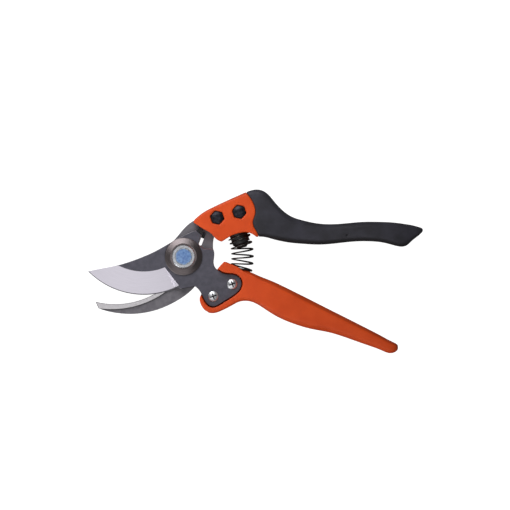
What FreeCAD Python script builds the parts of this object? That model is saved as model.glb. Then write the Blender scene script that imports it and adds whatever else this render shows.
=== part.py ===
import FreeCAD, Part
import math
import os

# A one-handed bypass pruner, lying on its side. The pivot axis is +Z and the origin is the centre of
# the pivot nut's flat rear face, on which the tool rests. +X runs from the pivot to the grips, +Y to
# the upper handle. Every size is in millimetres and every angle in degrees.

V = FreeCAD.Vector

# ---------------------------------------------------------------- driving dimensions
# pivot stack, from the rear face forwards
NUT_HEIGHT = 4.0
NUT_FLATS = 13.0
REAR_WASHER_THICKNESS = 1.45
REAR_WASHER_RADIUS = 8.5
COUNTER_THICKNESS = 4.0
BLADE_GAP = 0.10             # running gap on each face of the cutting blade
BLADE_THICKNESS = 3.5
PIVOT_RADIUS = 4.0
BUSH_RADIUS = 6.0
BUSH_CLEARANCE = 0.05
CAP_RADIUS = 12.0
CAP_RIM = 0.7
CAP_HEIGHT = 2.3
CAP_EDGE = 0.4               # the rim's rounded-off corner
CAP_GROOVE = 0.3             # the groove round the bolt's head, and its depth is CAP_EDGE
CAP_FLAT = 0.9               # the flat ring outside that groove
HEAD_RADIUS = 7.5
HEAD_HEIGHT = 1.9
HEAD_CHAMFER = 0.5
HEAD_TICKS = 32
TICK_RADIUS = 0.28
DISC_RADIUS = 5.6
DISC_DEPTH = 0.6
DISC_DOME = 0.15
DISC_EDGE = 0.4
SPRING_WASHER_THICKNESS = 0.6
SPRING_WASHER_DISH = 0.45

# cutting edge: an arc whose conical grind is concentric with it
EDGE_CENTRE = (-25.5, 25.7)
EDGE_RADIUS = 50.2
GRIND_WIDTH = 15.0
EDGE_THICKNESS = 0.25
GRIND_RUNOUT = 3.2
GRIND_END = ((-1.4, -20.7), (-12.2, -6.5))    # the straight line where the grind stops
BLADE_HEEL = (8.3, 16.9)
BLADE_NIB = (11.5, 13.7)

# hook jaw: a raised land along the inside, the body relieved behind it
LAND_CENTRE = (-46.2, 25.7)
LAND_RADIUS = 59.4
LAND_HEIGHT = 1.0
PIVOT_BOSS_RADIUS = 19.0
JAW_EASE = 0.3               # chamfer round the front faces of both jaws

# handles
HANDLE_THICKNESS = 19.0
HEAD_THICKNESS = 17.0        # lower handle round the blade plate
RECESS_GAP = 0.6
CORE_THICKNESS = 9.0
SWING_RADIUS = 23.0          # the lower handle stays outside this, clear of the hook jaw
TAIL_CREASE = ((41.9, -11.2), (93.8, -38.1))
TAIL_CHAMFER_SLOPE = 0.6

# fasteners
BOLT_RADIUS = 2.5
BOLT_FLATS = 8.0
BOLT_HEAD_HEIGHT = 3.2
BOLT_POCKET = 3.8
BOLT_DOME = 9.0              # the head's crown is a piece of a ball
BOLT_TURN = -12.0
BOLT_PLACES = [(21.6, 24.9), (35.7, 28.6)]
SCREW_RADIUS = 2.0
SCREW_HEAD_RADIUS = 3.3
SCREW_HEAD_HEIGHT = 1.5
SCREW_PLACES = [(31.2, -17.6), (19.0, -25.5)]
SCREW_DOME = 5.6
SCREW_SLOT = (4.2, 0.8)      # the cross recess: length and width of each wing
SCREW_SLOT_FLOOR = 0.3       # above the plate
SCREW_TURN = 20.0
INSERT_RADIUS = 3.2
INSERT_LENGTH = 6.0
NUT_POCKET_GAP = 0.3         # hexagon pockets over their nuts and heads, across flats
SHANK_END = 0.8              # how far screws and nuts stop short of the rear face
GRIP_DIMPLE = (104.8, 13.7)
GRIP_DIMPLE_RADIUS = 0.6
GRIP_DIMPLE_DEPTH = 3.4

# return spring: a coil bent round the pivot
SPRING_ORBIT = 37.8
SPRING_RADIUS = 6.8
WIRE_RADIUS = 0.5
SPRING_TOP = 20.6
SPRING_BOTTOM = -13.0
SPRING_TURNS = 6.8
SPRING_Z = 9.2
SEAT_THICKNESS = 1.6
SEAT_GAP = 0.15              # between the end coils and what they rest on
SEAT_SIDE_CLEARANCE = 0.3
END_COIL_TURNS = 0.8         # the closed turns at each end
PEG_SIDE_CLEARANCE = 0.6     # between the peg and the coil's inside
PEG_TIP_CLEARANCE = 1.5      # between the peg's tip and the seat's bore, with the handles shut
PEG_SHOULDER = 5.0           # the peg is parallel down to here
PEG_LENGTH = 8.0
PEG_ROOT_DEPTH = 2.6         # the peg's root inside the nose
SPIGOT_HEIGHT = 1.2          # the seat's spigot stands this far into the end coil
SPIGOT_WALL = 1.7
WELL_DEPTH = 3.0             # below the seat, for the peg's tip with the handles shut

# thumb lock: a pin that slides in a slot of the hook jaw's tang
LOCK_INNER = (10.8, 8.0)
LOCK_ANGLE = 70.0
LOCK_TRAVEL = 6.9
LOCK_PIN_RADIUS = 0.8
LOCK_SLOT_CLEARANCE = 0.15
LOCK_NOTCH_CLEARANCE = 0.25
LOCK_PAD_WIDTH = 6.6
LOCK_PAD_LENGTH = 9.0
LOCK_PAD_OFFSET = 1.5        # the pad sits this far beyond the pin
LOCK_FLANGE_LENGTH = 11.0
LOCK_FLANGE_TAIL = -2.5
LOCK_FLANGE_WIDTH = 8.0
LOCK_FLANGE_DEPTH = 1.3
LOCK_FACE_GAP = 0.1
LOCK_PAD_REAR = 1.0
LOCK_CLEARANCE = 0.3
LOCK_PIN_REAR = 2.4
LOCK_PIN_BITE = 1.6          # how far the pin reaches into the blade's thickness
LOCK_NOTCH_DEPTH = 2.0
LOCK_RIB_STEP = 1.5
LOCK_RIB_RADIUS = 0.4
CLOSING_ANGLE = 22.0

# heights that follow
COUNTER_REAR = NUT_HEIGHT + REAR_WASHER_THICKNESS
COUNTER_FRONT = COUNTER_REAR + COUNTER_THICKNESS
BLADE_REAR = COUNTER_FRONT + BLADE_GAP
BLADE_FRONT = BLADE_REAR + BLADE_THICKNESS
CAP_REAR = BLADE_FRONT + BLADE_GAP
CAP_FRONT = CAP_REAR + CAP_HEIGHT
HEAD_FRONT = CAP_FRONT + HEAD_HEIGHT
SPRING_WASHER_BORE = BUSH_RADIUS + 0.5
SPRING_WASHER_RIM = BUSH_RADIUS + 3.5
HANDLE_MIDDLE = HANDLE_THICKNESS / 2
SEAT_ANGLE = SPRING_BOTTOM - math.degrees((WIRE_RADIUS + SEAT_GAP) / SPRING_ORBIT)
SEAT_RADIUS = SPRING_RADIUS + WIRE_RADIUS + SEAT_SIDE_CLEARANCE
PEG_ROOT_RADIUS = SPRING_RADIUS - WIRE_RADIUS - PEG_SIDE_CLEARANCE
SPIGOT_RADIUS = SPRING_RADIUS - WIRE_RADIUS - SEAT_SIDE_CLEARANCE
SEAT_HOLE_RADIUS = SPIGOT_RADIUS - SPIGOT_WALL
PEG_TIP_RADIUS = SEAT_HOLE_RADIUS - PEG_TIP_CLEARANCE

# heights well clear of the tool, for cuts that go right through
UNDER = -5.0
OVER = 40.0


# ---------------------------------------------------------------- helpers
def point(xy, z=0.0):
    return V(xy[0], xy[1], z)


def smooth(points, z=0.0):
    curve = Part.BSplineCurve()
    curve.interpolate([point(p, z) for p in points])
    return curve.toShape()


def path(start, *steps):
    """A closed face in the XY plane: each step is a line, an arc (middle, end) or a smooth curve."""
    edges = []
    here = start
    for kind, *points in steps:
        if kind == "line":
            for target in points:
                edges.append(Part.makeLine(point(here), point(target)))
                here = target
        elif kind == "arc":
            edges.append(Part.Arc(point(here), point(points[0]), point(points[1])).toShape())
            here = points[1]
        else:
            edges.append(smooth([here] + points))
            here = points[-1]
    if (here[0] - start[0]) ** 2 + (here[1] - start[1]) ** 2 > 1e-8:
        edges.append(Part.makeLine(point(here), point(start)))
    return Part.Face(Part.Wire(edges))


def slab(face, low, high):
    lifted = face.copy()
    lifted.translate(V(0, 0, low))
    return lifted.extrude(V(0, 0, high - low))


def disc(radius, low, high, at=(0.0, 0.0)):
    return Part.makeCylinder(radius, high - low, point(at, low))


def ring(outer, inner, low, high, at=(0.0, 0.0)):
    return disc(outer, low, high, at).cut(disc(inner, low - 1, high + 1, at))


def hexagon(flats, low, high, at=(0.0, 0.0), turn=0.0):
    reach = flats / math.sqrt(3)
    corners = []
    for k in range(7):
        angle = math.radians(turn + 60 * k)
        corners.append(V(at[0] + reach * math.cos(angle), at[1] + reach * math.sin(angle), low))
    return Part.Face(Part.makePolygon(corners)).extrude(V(0, 0, high - low))


def turned(profile):
    """A solid of revolution about the Z axis from (radius, height) corners."""
    corners = [V(r, 0, z) for r, z in profile]
    return Part.Face(Part.makePolygon(corners + corners[:1])).revolve(V(0, 0, 0), V(0, 0, 1), 360)


def obround(start, end, radius, low, high):
    dx, dy = end[0] - start[0], end[1] - start[1]
    length = math.hypot(dx, dy)
    nx, ny = -dy / length * radius, dx / length * radius
    corners = [(start[0] + nx, start[1] + ny), (end[0] + nx, end[1] + ny),
               (end[0] - nx, end[1] - ny), (start[0] - nx, start[1] - ny)]
    bar = slab(path(corners[0], ("line", *corners[1:])), low, high)
    return bar.fuse(disc(radius, low, high, start)).fuse(disc(radius, low, high, end)).removeSplitter()


def along(start, angle, distance, side=0.0):
    """The place a distance along a direction from start, and an offset to its left."""
    c, s = math.cos(math.radians(angle)), math.sin(math.radians(angle))
    return (start[0] + c * distance - s * side, start[1] + s * distance + c * side)


def spun(xy, angle):
    c, s = math.cos(math.radians(angle)), math.sin(math.radians(angle))
    return (xy[0] * c - xy[1] * s, xy[0] * s + xy[1] * c)


def section(x, bottom, top, low, high, r):
    """A rectangle in the plane X = x with corners of radius r."""
    centres = [(top - r, high - r), (bottom + r, high - r), (bottom + r, low + r), (top - r, low + r)]
    arcs = []
    for k, (y, z) in enumerate(centres):
        bends = [math.radians(90 * k + step) for step in (0, 45, 90)]
        arcs.append([V(x, y + r * math.cos(a), z + r * math.sin(a)) for a in bends])
    edges = []
    for k, (first, middle, last) in enumerate(arcs):
        edges.append(Part.Arc(first, middle, last).toShape())
        edges.append(Part.makeLine(last, arcs[(k + 1) % 4][0]))
    return Part.Wire(edges)


def orbit_place(angle, radius=SPRING_ORBIT):
    return spun((radius, 0.0), angle)


def orbit_cone(angle, root, tip, length, back=0.0):
    """A cone on the spring's own line, starting at an orbit angle and running clockwise."""
    x, y = orbit_place(angle)
    direction = V(*spun((0.0, -1.0), angle), 0)
    start = V(x, y, SPRING_Z) - direction * back
    if abs(root - tip) < 1e-6:
        return Part.makeCylinder(root, length + back, start, direction)
    return Part.makeCone(root, tip, length + back, start, direction)


# ---------------------------------------------------------------- shared outlines
LOCK_OUTER = along(LOCK_INNER, LOCK_ANGLE, LOCK_TRAVEL)


# the bolting plate's free edge, clockwise from its upper corner to the blade's lower edge
PLATE_EDGE = [
    (18.9, 4.9), (19.6, -0.3), (19.4, -5.0), (20.6, -7.5), (23.0, -9.3), (25.4, -10.6), (28.6, -11.2),
    (32.1, -11.5), (34.9, -12.6), (36.8, -15.0), (37.1, -18.3), (36.0, -21.1), (33.9, -23.4),
    (29.9, -26.3), (25.9, -28.8), (21.7, -31.3), (18.8, -32.1), (16.4, -31.4), (14.3, -29.2),
    (12.7, -26.6), (11.3, -23.6), (9.7, -21.2), (7.4, -19.2),
]


def widened(points, gap):
    """The same line moved to its left by a gap, square to the run between each point's neighbours."""
    moved = []
    last = len(points) - 1
    for k, (x, y) in enumerate(points):
        before, after = points[max(k - 1, 0)], points[min(k + 1, last)]
        dx, dy = after[0] - before[0], after[1] - before[1]
        length = math.hypot(dx, dy)
        moved.append((x - dy / length * gap, y + dx / length * gap))
    return moved


def blade_outline():
    return path(
        (-61.1, -9.5),
        ("curve", (-50.9, -7.4), (-42.0, -5.6), (-30.4, -1.9), (-18.6, 3.1), (-7.0, 9.6), (1.4, 14.0),
         BLADE_HEEL),
        ("line", BLADE_NIB),
        ("curve", (10.3, 10.8), (9.75, 8.5), (10.3, 7.2), (11.5, 6.4)),
        ("line", (12.8, 5.0), PLATE_EDGE[0]),
        ("curve", *PLATE_EDGE[1:]),
        ("line", GRIND_END[0], (-3.8, -19.7)),
        ("arc", (-34.2, -23.7), (-61.1, -9.5)),
    )


def counter_outline():
    return path(
        (-56.3, -28.9),
        ("arc", (-37.4, -30.1), (-19.4, -24.4)),
        ("curve", (-13.6, -20.2), (-11.6, -15.0), (-13.0, -7.5), (-13.2, 0.0), (-10.6, 5.6), (-6.1, 10.4),
         (0.3, 17.9), (6.0, 22.6), (13.0, 25.6), (22.0, 30.2), (33.0, 35.2), (40.5, 37.6)),
        ("line", (42.5, 33.0), (41.0, 21.0)),
        ("curve", (33.0, 18.6), (26.0, 17.6), (20.8, 14.6), (19.0, 9.5), (18.9, 4.8), (18.2, -3.5),
         (15.5, -10.0), (11.4, -15.4), (7.2, -19.3)),
        ("curve", (4.2, -22.4), (-1.2, -26.5), (-8.4, -30.6), (-16.6, -34.0), (-24.9, -36.0),
         (-33.2, -36.8), (-39.8, -36.5), (-47.0, -35.4), (-54.4, -33.2)),
    )


# the line where the grip meets the nose, from the top down
SEAM = [
    (40.0, 41.2), (42.6, 37.8), (44.9, 33.7), (46.0, 29.8), (45.7, 26.3), (44.6, 23.2), (44.6, 20.4),
    (45.8, 17.6), (47.2, 15.2), (48.2, 11.0),
]


def upper_front_outline():
    """The orange nose: open above, where the rounded body gives its own top edge."""
    return path(
        (6.3, 21.8),
        ("curve", (7.0, 23.6), (8.6, 25.3), (11.6, 27.5)),
        ("line", (11.0, 50.0), (40.0, 50.0), SEAM[0]),
        ("curve", *SEAM[1:]),
        ("line", (45.6, 13.4)),
        ("curve", (43.6, 14.6), (41.4, 15.4), (36.3, 15.2), (31.1, 13.5), (27.5, 11.4), (24.4, 9.4)),
        ("line", (23.2, 9.9)),
        ("curve", (19.8, 12.3), (18.0, 14.4), (14.3, 16.8), (10.6, 18.9)),
    )


def grip_side():
    """Everything to the right of the seam between nose and grip."""
    return path(
        (40.0, 50.0),
        ("line", SEAM[0]),
        ("curve", *SEAM[1:]),
        ("line", (48.2, 0.0), (160.0, 0.0), (160.0, 50.0)),
    )


# x, bottom, top, how far the faces are drawn in from the full thickness, the corners' radius
UPPER_SECTIONS = [
    (3.0, 3.0, 18.6, 1.4, 1.2),
    (7.0, 3.0, 23.6, 0.9, 1.2),
    (11.6, 3.0, 27.5, 0.5, 1.2),
    (16.3, 4.0, 30.3, 0.3, 1.2),
    (24.8, 5.0, 34.4, 0.2, 1.3),
    (33.4, 6.0, 38.3, 0.2, 1.6),
    (40.0, 8.0, 41.2, 0.2, 2.2),
    (46.7, 12.4, 42.9, 0.2, 3.0),
    (50.6, 12.6, 42.2, 0.2, 3.4),
    (54.4, 11.9, 39.6, 0.3, 3.8),
    (58.2, 10.8, 35.1, 0.5, 4.2),
    (62.1, 9.9, 30.8, 0.7, 4.4),
    (67.0, 9.0, 26.8, 1.0, 4.5),
    (73.6, 8.3, 23.9, 1.4, 4.4),
    (85.1, 7.6, 21.3, 1.7, 4.1),
    (98.0, 8.4, 20.8, 1.7, 3.9),
    (112.0, 9.7, 22.0, 1.4, 3.9),
    (125.0, 9.3, 22.2, 1.4, 3.8),
    (134.0, 7.3, 21.8, 2.2, 3.6),
    (140.5, 6.3, 21.0, 3.2, 3.4),
    (144.5, 8.4, 20.4, 4.2, 3.2),
    (148.5, 11.9, 19.5, 5.4, 2.6),
    (151.6, 14.4, 18.6, 6.8, 1.8),
    (153.2, 16.0, 17.8, 8.4, 0.8),
]

# x, bottom, top, rear face's height, how far the front stands above the head's, the corners' radius
LOWER_SECTIONS = [
    (8.0, -34.0, 0.0, 1.2, -0.6, 1.4),
    (13.0, -35.0, 0.0, 0.6, -0.3, 1.4),
    (18.8, -36.3, 0.0, 0.2, 0.0, 1.5),
    (25.9, -34.0, 0.0, 0.0, 0.0, 1.6),
    (31.2, -31.2, 0.0, 0.0, 0.0, 1.8),
    (36.2, -28.8, -6.3, 0.0, 0.2, 2.2),
    (42.9, -28.8, -10.0, 0.0, 0.6, 2.8),
    (48.5, -31.3, -12.5, 0.1, 1.0, 3.4),
    (54.4, -35.2, -14.8, 0.2, 1.2, 3.8),
    (62.1, -39.6, -18.2, 0.5, 1.2, 4.0),
    (69.8, -42.8, -22.0, 0.8, 1.0, 4.1),
    (81.0, -46.2, -27.6, 1.3, 0.6, 4.1),
    (92.8, -48.5, -33.6, 1.8, 0.1, 3.9),
    (104.0, -51.9, -39.2, 2.3, -0.4, 3.6),
    (115.8, -56.1, -45.2, 2.9, -1.0, 3.3),
    (127.0, -60.2, -51.0, 3.6, -1.7, 3.0),
    (133.0, -61.9, -54.2, 4.4, -2.4, 2.6),
    (136.0, -60.8, -55.7, 5.4, -3.5, 1.9),
    (137.3, -59.2, -57.0, 7.4, -5.8, 0.9),
]


def upper_body():
    sections = []
    for x, bottom, top, inset, radius in UPPER_SECTIONS:
        sections.append(section(x, bottom, top, inset, HANDLE_THICKNESS - inset, radius))
    return Part.makeLoft(sections, True, False)


def lower_body():
    sections = []
    for x, bottom, top, rear, raised, radius in LOWER_SECTIONS:
        sections.append(section(x, bottom, top, rear, HEAD_THICKNESS + raised, radius))
    return Part.makeLoft(sections, True, False)


def lower_front_outline():
    """The lower handle's own outline at its head; the tail is left to the rounded body."""
    return path(
        (11.3, -24.5),
        ("line", (13.0, -19.0)),
        ("arc", spun((SWING_RADIUS, 0.0), -38.0), spun((SWING_RADIUS, 0.0), -21.2)),
        ("line", (23.4, -6.0), (26.0, -3.3), (27.4, -3.5), (30.7, -4.9), (40.4, -8.9), (43.6, -9.6),
         (60.0, -5.0), (150.0, -5.0), (150.0, -80.0),
         (16.0, -80.0), (16.0, -35.6)),
        ("curve", (13.3, -34.0), (11.2, -30.9), (10.3, -27.6), (11.3, -24.5)),
    )


# ---------------------------------------------------------------- blades
def eased(body, height):
    """The body with a chamfer round its flat face at that height."""
    level = []
    for edge in body.Edges:
        if max(abs(edge.BoundBox.ZMin - height), abs(edge.BoundBox.ZMax - height)) < 0.001:
            level.append(edge)
    return body.makeChamfer(JAW_EASE, level).Solids[0]


def make_counter_blade():
    body = eased(slab(counter_outline(), COUNTER_REAR, COUNTER_FRONT), COUNTER_FRONT)
    relief = disc(120.0, COUNTER_FRONT - LAND_HEIGHT, COUNTER_FRONT + 1, LAND_CENTRE)
    relief = relief.cut(disc(LAND_RADIUS, UNDER, OVER, LAND_CENTRE))
    relief = relief.cut(disc(PIVOT_BOSS_RADIUS, UNDER, OVER))
    relief = relief.common(Part.makeBox(130, 60, OVER, V(-120, -60, 0)))
    body = body.cut(relief)
    body = body.cut(disc(PIVOT_RADIUS, UNDER, OVER))
    for place in BOLT_PLACES:
        body = body.cut(disc(BOLT_RADIUS, UNDER, OVER, place))
    slot_radius = LOCK_PIN_RADIUS + LOCK_SLOT_CLEARANCE
    return body.cut(obround(LOCK_INNER, LOCK_OUTER, slot_radius, UNDER, OVER))


def grind_cutter():
    rise = BLADE_THICKNESS - EDGE_THICKNESS
    slope = rise / GRIND_WIDTH
    inner = EDGE_RADIUS - GRIND_WIDTH
    outer = EDGE_RADIUS + 5.0
    top = BLADE_FRONT + 1.0
    cone = turned([(inner - 1.0 / slope, top), (inner, BLADE_FRONT),
                   (outer, BLADE_FRONT - (outer - inner) * slope), (outer, top)])
    cone.translate(point(EDGE_CENTRE))
    # the grind stops at a straight line, with a short sloping run-out
    foot, head = GRIND_END
    angle = math.degrees(math.atan2(head[1] - foot[1], head[0] - foot[0]))
    steep = GRIND_RUNOUT / rise
    corners = [(-steep, BLADE_FRONT + 1.0), (0.0, BLADE_FRONT), (GRIND_RUNOUT + steep, BLADE_REAR - 0.75),
               (90.0, BLADE_REAR - 0.75), (90.0, BLADE_FRONT + 1.0)]
    wall = [point(along(foot, angle, -40.0, side), z) for side, z in corners]
    stop = Part.Face(Part.makePolygon(wall + wall[:1]))
    run = along((0, 0), angle, 100.0)
    return cone.common(stop.extrude(point(run)))


def make_cutting_blade():
    body = eased(slab(blade_outline(), BLADE_REAR, BLADE_FRONT), BLADE_FRONT)
    body = body.cut(grind_cutter())
    body = body.cut(disc(BUSH_RADIUS + BUSH_CLEARANCE, UNDER, OVER))
    for place in SCREW_PLACES:
        body = body.cut(disc(SCREW_RADIUS, UNDER, OVER, place))
    # blind notch in the rear face that takes the lock pin with the jaws shut
    reach = LOCK_PIN_RADIUS + LOCK_NOTCH_CLEARANCE
    inner = spun(LOCK_INNER, -CLOSING_ANGLE)
    outer = spun(LOCK_OUTER, -CLOSING_ANGLE)
    return body.cut(obround(inner, outer, reach, UNDER, BLADE_REAR + LOCK_NOTCH_DEPTH))


# ---------------------------------------------------------------- pivot
def make_pivot_bolt():
    shank = disc(PIVOT_RADIUS, 0, CAP_FRONT)
    head = turned([(0, CAP_FRONT), (HEAD_RADIUS, CAP_FRONT), (HEAD_RADIUS, HEAD_FRONT - HEAD_CHAMFER),
                   (HEAD_RADIUS - HEAD_CHAMFER, HEAD_FRONT), (0, HEAD_FRONT)])
    for k in range(HEAD_TICKS):
        place = spun((HEAD_RADIUS, 0.0), 360.0 * k / HEAD_TICKS)
        head = head.cut(disc(TICK_RADIUS, CAP_FRONT - 1, HEAD_FRONT + 1, place))
    head = head.cut(disc(DISC_RADIUS, HEAD_FRONT - DISC_DEPTH, HEAD_FRONT + 1))
    return shank.fuse(head)


def make_pivot_disc():
    rear = HEAD_FRONT - DISC_DEPTH
    return turned([(0, rear), (DISC_RADIUS, rear), (DISC_RADIUS, HEAD_FRONT - DISC_EDGE / 2),
                   (DISC_RADIUS - DISC_EDGE, HEAD_FRONT), (0, HEAD_FRONT + DISC_DOME)])


def make_pivot_cap():
    groove_floor = CAP_FRONT - CAP_EDGE
    body = turned([(PIVOT_RADIUS, CAP_REAR), (CAP_RADIUS, CAP_REAR), (CAP_RADIUS, CAP_REAR + CAP_RIM),
                   (CAP_RADIUS - CAP_EDGE, CAP_REAR + CAP_RIM + CAP_EDGE * 0.6),
                   (HEAD_RADIUS + CAP_FLAT, CAP_FRONT), (HEAD_RADIUS + CAP_GROOVE, CAP_FRONT),
                   (HEAD_RADIUS + CAP_GROOVE, groove_floor), (HEAD_RADIUS - CAP_GROOVE, groove_floor),
                   (HEAD_RADIUS - CAP_GROOVE, CAP_FRONT), (PIVOT_RADIUS, CAP_FRONT)])
    inner, outer = SPRING_WASHER_BORE - 0.1, SPRING_WASHER_RIM + 0.1
    room = SPRING_WASHER_THICKNESS + SPRING_WASHER_DISH + 0.05
    return body.cut(ring(outer, inner, CAP_REAR - 1, CAP_REAR + room))


def make_disc_spring():
    rim = CAP_REAR + 0.05
    crown = rim + SPRING_WASHER_DISH
    return turned([(SPRING_WASHER_BORE, crown), (SPRING_WASHER_RIM, rim),
                   (SPRING_WASHER_RIM, rim + SPRING_WASHER_THICKNESS),
                   (SPRING_WASHER_BORE, crown + SPRING_WASHER_THICKNESS)])


def make_pivot_bush():
    return ring(BUSH_RADIUS, PIVOT_RADIUS, COUNTER_FRONT, CAP_REAR)


def make_rear_washer():
    return ring(REAR_WASHER_RADIUS, PIVOT_RADIUS, NUT_HEIGHT, COUNTER_REAR)


def make_pivot_nut():
    body = hexagon(NUT_FLATS, 0, NUT_HEIGHT, turn=15.0)
    reach = NUT_FLATS / math.sqrt(3)
    crown = turned([(0, 0), (reach - 1.0, 0), (reach + 0.1, 0.6), (reach + 0.1, NUT_HEIGHT), (0, NUT_HEIGHT)])
    return body.common(crown).cut(disc(PIVOT_RADIUS, -1, NUT_HEIGHT + 1))


# ---------------------------------------------------------------- upper handle
def grip_core():
    low = HANDLE_MIDDLE - CORE_THICKNESS / 2
    return slab(path(
        (38.0, 36.0),
        ("curve", (48.0, 36.0), (57.0, 28.0), (70.0, 20.0), (95.0, 17.2), (126.0, 17.8)),
        ("line", (129.0, 14.5)),
        ("curve", (100.0, 12.2), (72.0, 12.0), (56.0, 16.5), (38.0, 20.0)),
    ), low, low + CORE_THICKNESS)


def lock_flange_space():
    half = LOCK_FLANGE_WIDTH / 2
    start = along(LOCK_INNER, LOCK_ANGLE, LOCK_FLANGE_TAIL + half)
    end = along(LOCK_OUTER, LOCK_ANGLE, LOCK_FLANGE_TAIL + LOCK_FLANGE_LENGTH - half)
    return obround(start, end, half + LOCK_CLEARANCE, COUNTER_REAR - LOCK_FLANGE_DEPTH - LOCK_CLEARANCE,
                   COUNTER_REAR)


def lock_pad_space():
    half = LOCK_PAD_WIDTH / 2
    start = along(LOCK_INNER, LOCK_ANGLE, LOCK_PAD_OFFSET - half)
    end = along(LOCK_OUTER, LOCK_ANGLE, LOCK_PAD_OFFSET + LOCK_PAD_LENGTH / 2 - half)
    return obround(start, end, half + LOCK_CLEARANCE, UNDER, COUNTER_REAR)


def make_upper_handle(upper):
    nose = upper.common(slab(upper_front_outline(), UNDER, OVER))
    pocket = BOLT_FLATS + NUT_POCKET_GAP
    body = nose.fuse(grip_core())
    body = body.cut(slab(counter_outline(), COUNTER_REAR, COUNTER_FRONT))
    # the blade sweeps in front of the tang, so the mouth is open there
    body = body.cut(disc(PIVOT_BOSS_RADIUS + 1.0, COUNTER_REAR, BLADE_FRONT + 1.0))
    # the thumb lock runs behind the tang, its flange under the window's edge
    body = body.cut(lock_flange_space()).cut(lock_pad_space())
    for place in BOLT_PLACES:
        body = body.cut(disc(BOLT_RADIUS, UNDER, OVER, place))
        body = body.cut(hexagon(pocket, HANDLE_THICKNESS - BOLT_POCKET, OVER, place, BOLT_TURN))
        body = body.cut(hexagon(pocket, UNDER, BOLT_POCKET, place, BOLT_TURN))
    body = body.cut(make_stop_pad(0.0))
    body = body.cut(make_spring_peg())
    return body.cut(orbit_cone(SPRING_TOP, SEAT_RADIUS, SEAT_RADIUS, 10.0, WIRE_RADIUS + SEAT_GAP))


def make_soft_grip(upper):
    body = upper.common(slab(grip_side(), UNDER, OVER)).cut(grip_core())
    body = body.cut(slab(counter_outline(), COUNTER_REAR, COUNTER_FRONT))
    return body.cut(disc(GRIP_DIMPLE_RADIUS, HANDLE_THICKNESS - GRIP_DIMPLE_DEPTH, OVER, GRIP_DIMPLE))


def make_stop_pad(gap=0.15):
    """A rubber strip in the nose's mouth that the blade's tab meets when the jaws are open."""
    heel = (BLADE_HEEL[0] + 0.2 + gap, BLADE_HEEL[1] + gap)
    nib = (BLADE_NIB[0] + gap, BLADE_NIB[1] + gap)
    outline = path(heel, ("line", nib, (12.2, 15.9), (13.4, 18.4), (11.2, 20.0)))
    return slab(outline, COUNTER_FRONT, BLADE_FRONT + 0.4)


def make_spring_peg():
    root = orbit_cone(SPRING_TOP, PEG_ROOT_RADIUS, PEG_ROOT_RADIUS, PEG_SHOULDER, PEG_ROOT_DEPTH)
    turn = math.degrees(PEG_SHOULDER / SPRING_ORBIT)
    taper = orbit_cone(SPRING_TOP - turn, PEG_ROOT_RADIUS, PEG_TIP_RADIUS, PEG_LENGTH - PEG_SHOULDER)
    return root.fuse(taper)


def make_handle_bolts():
    solids = []
    for place in BOLT_PLACES:
        rear = HANDLE_THICKNESS - BOLT_POCKET
        head = hexagon(BOLT_FLATS, rear, rear + BOLT_HEAD_HEIGHT, place, BOLT_TURN)
        dome = Part.makeSphere(BOLT_DOME, point(place, rear + BOLT_HEAD_HEIGHT - BOLT_DOME + 0.25))
        head = head.common(dome)
        solids.append(head.fuse(disc(BOLT_RADIUS, SHANK_END, rear, place)))
    return Part.Compound(solids)


def make_handle_nuts():
    solids = []
    for place in BOLT_PLACES:
        nut = hexagon(BOLT_FLATS, SHANK_END, BOLT_POCKET, place, BOLT_TURN)
        solids.append(nut.cut(disc(BOLT_RADIUS, UNDER, OVER, place)))
    return Part.Compound(solids)


# ---------------------------------------------------------------- lower handle
def plate_recess():
    """The room for the blade's bolting plate, with a gap all round, open to the front."""
    edge = widened(PLATE_EDGE, RECESS_GAP)
    room = path(edge[0], ("curve", *edge[1:]), ("line", (-5.0, -19.0), (-5.0, 5.0)))
    return slab(room, BLADE_REAR, 2 * HANDLE_THICKNESS)


def tail_chamfer():
    """The wedge that leaves a broad slanting band along the inside of the tail."""
    near, far = TAIL_CREASE
    angle = math.degrees(math.atan2(far[1] - near[1], far[0] - near[0]))
    front = HEAD_THICKNESS + 1.4
    width = 20.0
    wedge = [(0.0, front), (width, front - width * TAIL_CHAMFER_SLOPE), (width, front + 5), (0.0, front + 5)]
    corners = [point(along(near, angle, -12.0, side), z) for side, z in wedge]
    return Part.Face(Part.makePolygon(corners + corners[:1])).extrude(point(along((0, 0), angle, 76.0)))


def make_lower_handle():
    body = lower_body().common(slab(lower_front_outline(), UNDER, OVER))
    body = body.cut(tail_chamfer())
    body = body.cut(plate_recess())
    for place in SCREW_PLACES:
        body = body.cut(disc(SCREW_RADIUS, UNDER, OVER, place))
        body = body.cut(disc(INSERT_RADIUS, UNDER, INSERT_LENGTH, place))
    pocket = orbit_cone(SEAT_ANGLE, SEAT_RADIUS, SEAT_RADIUS, SEAT_THICKNESS, 8.0)
    well = orbit_cone(SEAT_ANGLE, SEAT_HOLE_RADIUS, SEAT_HOLE_RADIUS, SEAT_THICKNESS + WELL_DEPTH)
    return body.cut(pocket.fuse(well))


def make_spring_seat():
    """A flange under the end coil with a spigot inside it, bored for the peg's tip."""
    flange = orbit_cone(SEAT_ANGLE, SEAT_RADIUS, SEAT_RADIUS, SEAT_THICKNESS)
    spigot = orbit_cone(SEAT_ANGLE, SPIGOT_RADIUS, SPIGOT_RADIUS, SEAT_THICKNESS, SPIGOT_HEIGHT)
    through = SEAT_THICKNESS + 1.0
    bore = orbit_cone(SEAT_ANGLE, SEAT_HOLE_RADIUS, SEAT_HOLE_RADIUS, through, SPIGOT_HEIGHT + 1.0)
    return flange.fuse(spigot).cut(bore)


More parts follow.
